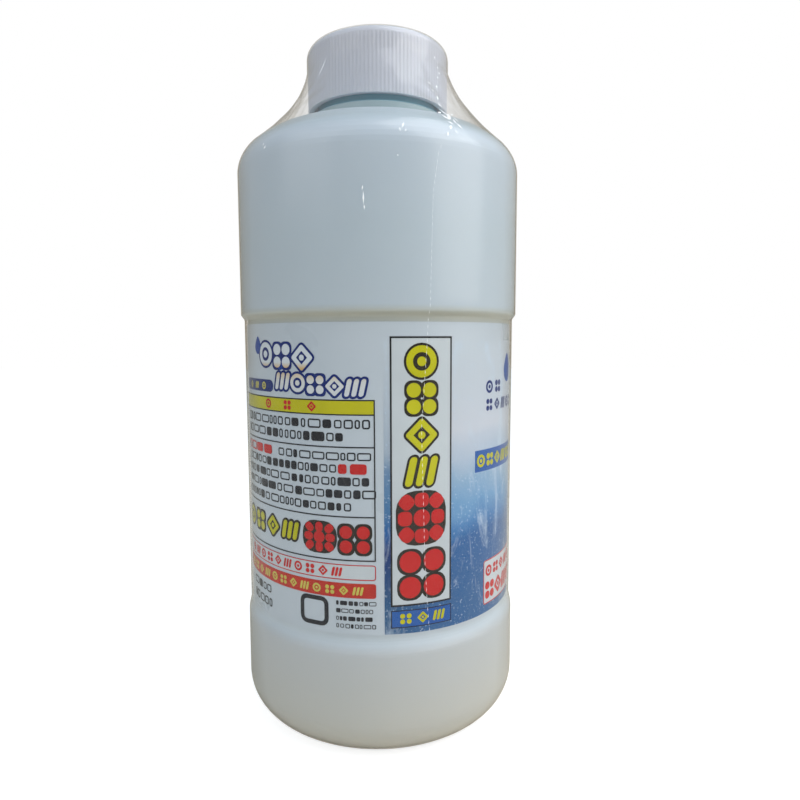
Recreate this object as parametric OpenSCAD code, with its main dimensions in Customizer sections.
// Liquid cleaner bottle with a screw cap, a wrap label and a clear shrink film.
// Blow-moulded round bottle, standing on the plane z = 0 and turned about the Z axis.

/* [Body] */
// Outer radius of the bottle wall above the label recess
upper_r = 51.65; // [50:0.05:56]
// Outer radius of the bottle wall below the label recess
lower_r = 51.25; // [49.5:0.05:55]
// Radius of the recessed wall that carries the label
recess_r = 49.6; // [46:0.05:50.2]
// Thickness of the blown wall
wall = 1; // [0.6:0.1:2]
// Radius of the rounded heel at the base
heel_r = 14.3; // [8:0.1:20]
// Height of the plain foot below the label recess
foot_h = 37.5; // [25:0.5:50]
// Height over which the foot slopes into the recess
low_ledge_h = 5.5; // [2:0.5:8]
// Height of the label recess
recess_h = 104.3; // [80:0.1:120]
// Height over which the recess slopes out to the upper wall
high_ledge_h = 2.5; // [1:0.5:5]
// Height of the plain upper wall
upper_h = 50.2; // [30:0.1:70]
// Height of the rounded shoulder
shoulder_h = 16.5; // [10:0.1:25]
// Width of the flat ring that the bottle stands on
stand_ring_w = 3.5; // [2:0.5:6]
// Rise of the base inside the stand ring
base_rise = 5; // [2:0.5:10]
// Width of the slope from the stand ring up to the raised base
base_slope_w = 9; // [6:0.5:14]

/* [Neck] */
// Outer radius of the neck under its thread
neck_r = 22.3; // [18:0.1:24]
// Wall thickness of the neck
neck_wall = 2; // [1.4:0.1:3]
// Outer radius of the collar that the neck grows out of
collar_r = 25.3; // [24.5:0.1:30]
// Height of the collar above the shoulder
collar_h = 4.9; // [3:0.1:8]
// Wall thickness of the collar
collar_wall = 2; // [1.4:0.1:3]
// Bevel on the top edge of the collar and of the neck
neck_bevel = 0.6; // [0.2:0.1:1]

/* [Thread] */
// Pitch of the screw thread
thread_pitch = 4; // [3:0.5:6]
// Height of a thread ridge above its wall
thread_depth = 1.2; // [0.8:0.1:1.6]
// Radial gap between a ridge and the wall that it faces
thread_gap = 0.5; // [0.3:0.1:1]
// Width of a ridge at its wall
thread_root_w = 1.9; // [1.4:0.1:2.2]
// Width of a ridge at its crest
thread_crest_w = 0.9; // [0.6:0.1:1.2]
// Turns of thread on the neck
neck_turns = 1.5; // [1:0.25:2]
// Turns of thread in the cap
cap_turns = 1.25; // [1:0.25:1.5]
// Distance from the top of the neck to the end of its thread
thread_drop = 2.5; // [1.5:0.1:4]

/* [Cap] */
// Height of the cap
cap_h = 22.6; // [20:0.1:30]
// Thickness of the cap's side wall, with its ribs
cap_wall = 1.9; // [1.4:0.1:3]
// Thickness of the cap's top
cap_top_t = 1.8; // [1:0.1:3]
// Radius of the cap's top edge
cap_edge_r = 3.5; // [2:0.1:5]
// Gap between the collar and the cap's lower edge
cap_gap = 2.2; // [1:0.1:4]
// Number of grip ribs round the cap
rib_count = 120; // [60:4:160]
// Depth of the grooves between the ribs
rib_depth = 0.15; // [0.1:0.05:0.6]
// Thickness of the sealing liner
liner_t = 1; // [0.5:0.1:2]
// Gap between the liner's edge and the cap's wall
liner_gap = 0.3; // [0.2:0.1:1]
// Gap between the liner and the top of the neck
seal_gap = 0.05; // [0.02:0.01:0.2]

/* [Label] */
// Thickness of the label
label_t = 0.15; // [0.1:0.05:0.3]
// Gap between the label and the recessed wall
label_gap = 0.1; // [0.05:0.05:0.2]
// Bare margin between the label and each end of the recess
label_margin = 1.4; // [0.5:0.1:5]

/* [Film] */
// Thickness of the shrink film
film_t = 0.2; // [0.1:0.05:0.3]
// Gap between the film and what it is shrunk on to
film_gap = 0.15; // [0.1:0.05:0.3]
// Gap between the film and the label, where the film bridges the recess
film_label_gap = 0.7; // [0.1:0.05:1.2]
// Angle below the horizontal at which the film ends under the heel
film_heel_angle = 70; // [40:1:74]
// Angle up the shoulder at which the film leaves it
film_leave_angle = 30; // [20:1:45]
// Height above the cap's lower edge at which the film meets the cap
film_meet_h = 14.4; // [8:0.1:16]
// Distance from the cap that the slack film is pulled in to at the cap's lower edge
film_pull = 4.5; // [2:0.1:8]
// Radius of the hole that the film leaves open on the cap's top
film_hole_r = 17; // [8:0.5:20]

/* [Filling] */
// Height of the liquid's surface above the base
fill_z = 200.3; // [100:0.5:210]
// Gap between the liquid and the bottle's inner wall
liquid_gap = 0.1; // [0.05:0.05:0.5]

/* [Hidden] */
$fn = 144;

recess_z0 = foot_h + low_ledge_h;
recess_z1 = recess_z0 + recess_h;
upper_z0 = recess_z1 + high_ledge_h;
shoulder_z = upper_z0 + upper_h;
shoulder_top = shoulder_z + shoulder_h;
collar_z = shoulder_top + collar_h;
cap_z0 = collar_z + cap_gap;
cap_z1 = cap_z0 + cap_h;
liner_z = cap_z1 - cap_top_t - liner_t;
neck_top = liner_z - seal_gap;

heel_centre_r = lower_r - heel_r;
ring_in_r = heel_centre_r - stand_ring_w;
bore_r = neck_r - neck_wall;
cap_in_r = neck_r + thread_depth + thread_gap;
cap_r = cap_in_r + cap_wall;
liner_r = cap_in_r - liner_gap;
label_in_r = recess_r + label_gap;
label_r = label_in_r + label_t;
label_stack = label_gap + label_t;

thread_z = neck_top - thread_drop - neck_turns * thread_pitch;
thread_steps = 36;
thread_ramp = 6;
thread_embed = 0.4;
past = 1;

heel_steps = 12;
ledge_steps = 6;
shoulder_steps = 16;
film_steps = 14;
edge_steps = 6;

// Points on an elliptic arc in the section plane, from angle a0 to a1
function arc_points(cr, cz, ar, az, a0, a1, n) = [
    for (i = [0:n]) let (a = a0 + (a1 - a0) * i / n) [cr + ar * cos(a), cz + az * sin(a)]
];

// Points on a soft S-shaped step between two radii
function step_points(r0, z0, r1, z1, n) = [
    for (i = [0:n]) let (u = i / n) [r0 + (r1 - r0) * (1 - cos(180 * u)) / 2, z0 + (z1 - z0) * u]
];

// Points on the slack stretch of film between p0 and p1, pulled towards c
function slack_points(p0, c, p1, n) = [
    for (i = [1:n]) let (u = i / n) p0 * pow(1 - u, 2) + c * (2 * u * (1 - u)) + p1 * pow(u, 2)
];

// The raised base from the axis out to the stand ring, lifted by d
function base_points(d) = [
    for (i = [0:ledge_steps]) let (u = i / ledge_steps)
        [ring_in_r - base_slope_w * (1 - u), d + base_rise * (1 + cos(180 * u)) / 2]
];

// The side wall from the heel up to the shoulder, moved outwards by d
function side_points(d, heel_a, recess_d, shoulder_a) = concat(
    arc_points(heel_centre_r, heel_r, heel_r + d, heel_r + d, -heel_a, 0, heel_steps),
    step_points(lower_r + d, foot_h, recess_r + recess_d, recess_z0, ledge_steps),
    step_points(recess_r + recess_d, recess_z1, upper_r + d, upper_z0, ledge_steps),
    arc_points(collar_r, shoulder_z, upper_r - collar_r + d, shoulder_h + d, 0, shoulder_a, shoulder_steps)
);

// One surface of the film, at a distance d from what it covers
function film_points(d) = let (
    recess_d = label_stack + film_label_gap - film_gap + d,
    side = side_points(d, film_heel_angle, recess_d, film_leave_angle),
    leave = side[len(side) - 1],
    meet = [cap_r + d, cap_z0 + film_meet_h],
    pull = [cap_r + film_pull + d, cap_z0 + d]
) concat(
    side,
    slack_points(leave, pull, meet, film_steps),
    arc_points(cap_r - cap_edge_r, cap_z1 - cap_edge_r, cap_edge_r + d, cap_edge_r + d, 0, 90, edge_steps),
    [[film_hole_r, cap_z1 + d]]
);

function reversed(points) = [for (i = [len(points) - 1:-1:0]) points[i]];

// Corners of a thread ridge's section at one step along its helix
function ridge_section(i, steps, turns, root, crest, z0) = let (
    a = 360 * turns * i / steps,
    z = z0 + thread_pitch * turns * i / steps,
    height = min(1, i / thread_ramp, (steps - i) / thread_ramp),
    base = root - thread_embed * sign(crest - root),
    tip = root + (crest - root) * height,
    half_root = thread_root_w / 2,
    half_crest = thread_crest_w / 2
) [
    for (p = [[base, -half_root], [tip, -half_crest], [tip, half_crest], [base, half_root]])
        [p[0] * cos(a), p[0] * sin(a), z + p[1]]
];

// A helical ridge from the radius root to the radius crest, inwards or outwards
module thread_ridge(turns, root, crest, z0) {
    steps = round(turns * thread_steps);
    points = [for (i = [0:steps]) each ridge_section(i, steps, turns, root, crest, z0)];
    sides = [
        for (i = [0:steps - 1], k = [0:3]) let (a = 4 * i + k, b = 4 * i + (k + 1) % 4)
            each [[a, b + 4, b], [a, a + 4, b + 4]]
    ];
    last = 4 * steps;
    ends = [[0, 1, 2], [0, 2, 3], [last + 2, last + 1, last], [last + 3, last + 2, last]];
    faces = concat(sides, ends);
    polyhedron(points, crest < root ? faces : [for (f = faces) reversed(f)], convexity = 6);
}

// The room inside the bottle, drawn in by d from its inner wall
module cavity(d) {
    inset = wall + d;
    rotate_extrude()
        polygon(concat(
            [[0, base_rise + inset]],
            base_points(inset),
            side_points(-inset, 90, -inset, 90),
            [
                [collar_r - collar_wall - d, shoulder_top - inset],
                [collar_r - collar_wall - d, collar_z - collar_wall - d],
                [bore_r - d, collar_z - d],
                [bore_r - d, neck_top + past],
                [0, neck_top + past]
            ]
        ));
}

// The blown body, from its base up to the top of the shoulder
module bottle() {
    color([0.8, 0.85, 0.9])
    difference() {
        rotate_extrude()
            polygon(concat(
                [[0, base_rise]],
                base_points(0),
                side_points(0, 90, 0, 90),
                [[0, shoulder_top]]
            ));
        cavity(0);
    }
}

// The collar and the threaded neck, which carry on from the body's top face to face
module neck() {
    color([0.8, 0.85, 0.9])
    union() {
        difference() {
            rotate_extrude()
                polygon([
                    [0, shoulder_top],
                    [collar_r, shoulder_top],
                    [collar_r, collar_z - neck_bevel],
                    [collar_r - neck_bevel, collar_z],
                    [neck_r, collar_z],
                    [neck_r, neck_top - neck_bevel],
                    [neck_r - neck_bevel, neck_top],
                    [0, neck_top]
                ]);
            cavity(0);
        }
        thread_ridge(neck_turns, neck_r, neck_r + thread_depth, thread_z);
    }
}

module cap_body() {
    intersection() {
        translate([0, 0, cap_z0])
            linear_extrude(cap_h)
                polygon([
                    for (i = [0:2 * rib_count - 1])
                        let (a = 180 * i / rib_count, r = cap_r - (i % 2) * rib_depth)
                            [r * cos(a), r * sin(a)]
                ]);
        rotate_extrude()
            polygon(concat(
                [[0, cap_z0], [cap_r, cap_z0]],
                arc_points(cap_r - cap_edge_r, cap_z1 - cap_edge_r, cap_edge_r, cap_edge_r, 0, 90, edge_steps),
                [[0, cap_z1]]
            ));
    }
}

module cap() {
    color([0.86, 0.86, 0.91])
    union() {
        difference() {
            cap_body();
            translate([0, 0, cap_z0 - past])
                cylinder(h = cap_h - cap_top_t + past, r = cap_in_r);
        }
        thread_ridge(cap_turns, cap_in_r, cap_in_r - thread_depth, thread_z - thread_pitch / 2);
    }
}

module cap_liner() {
    color([0.93, 0.93, 0.9])
        translate([0, 0, liner_z])
            cylinder(h = liner_t, r = liner_r);
}

module label() {
    color([0.95, 0.95, 0.97])
        translate([0, 0, recess_z0 + label_margin])
            difference() {
                cylinder(h = recess_h - 2 * label_margin, r = label_r);
                translate([0, 0, -past])
                    cylinder(h = recess_h + 2 * past, r = label_in_r);
            }
}

module outer_film() {
    color([0.8, 0.9, 0.95, 0.4])
        rotate_extrude()
            polygon(concat(film_points(film_gap + film_t), reversed(film_points(film_gap))));
}

module cleaning_liquid() {
    color([0.75, 0.85, 0.95])
        intersection() {
            cavity(liquid_gap);
            cylinder(h = fill_z, r = upper_r);
        }
}

bottle();
neck();
cap();
cap_liner();
label();
outer_film();
cleaning_liquid();
